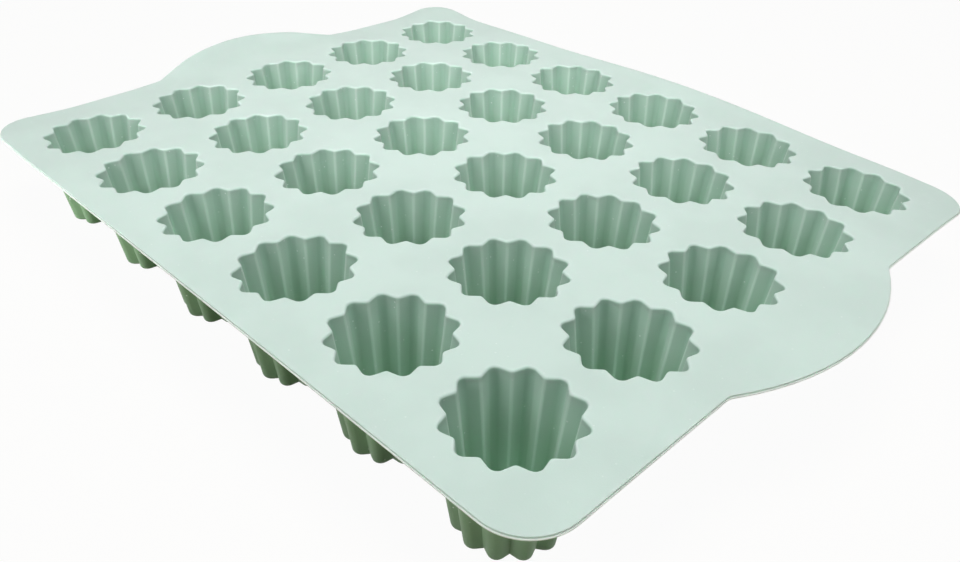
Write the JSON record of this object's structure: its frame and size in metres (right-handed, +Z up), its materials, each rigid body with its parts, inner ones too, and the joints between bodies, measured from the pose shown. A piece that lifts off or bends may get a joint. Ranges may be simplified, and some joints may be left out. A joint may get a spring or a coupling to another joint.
{
  "type": "silicone baking mould",
  "caption": "Flexible silicone baking mould: a thin flat sheet with rounded corners and a grip tab at each short end, over a grid of tapered fluted cups that shape small cakes.",
  "frame": {"origin": "centre of the footprint, on the plane that the cups stand on", "axes": "+X from grip tab to grip tab, +Y across the rows of cups, +Z up out of the cups' mouths"},
  "size_m": [0.3, 0.227, 0.0333],
  "materials": {
    "silicone": "satin"
  },
  "bodies": {
    "root": {"sheet": "silicone", "cup_row1_col1": "silicone", "cup_row1_col2": "silicone", "cup_row1_col3": "silicone", "cup_row1_col4": "silicone", "cup_row1_col5": "silicone", "cup_row1_col6": "silicone", "cup_row2_col1": "silicone", "cup_row2_col2": "silicone", "cup_row2_col3": "silicone", "cup_row2_col4": "silicone", "cup_row2_col5": "silicone", "cup_row2_col6": "silicone", "cup_row3_col1": "silicone", "cup_row3_col2": "silicone", "cup_row3_col3": "silicone", "cup_row3_col4": "silicone", "cup_row3_col5": "silicone", "cup_row3_col6": "silicone", "cup_row4_col1": "silicone", "cup_row4_col2": "silicone", "cup_row4_col3": "silicone", "cup_row4_col4": "silicone", "cup_row4_col5": "silicone", "cup_row4_col6": "silicone", "cup_row5_col1": "silicone", "cup_row5_col2": "silicone", "cup_row5_col3": "silicone", "cup_row5_col4": "silicone", "cup_row5_col5": "silicone", "cup_row5_col6": "silicone"}
  },
  "joints": []
}
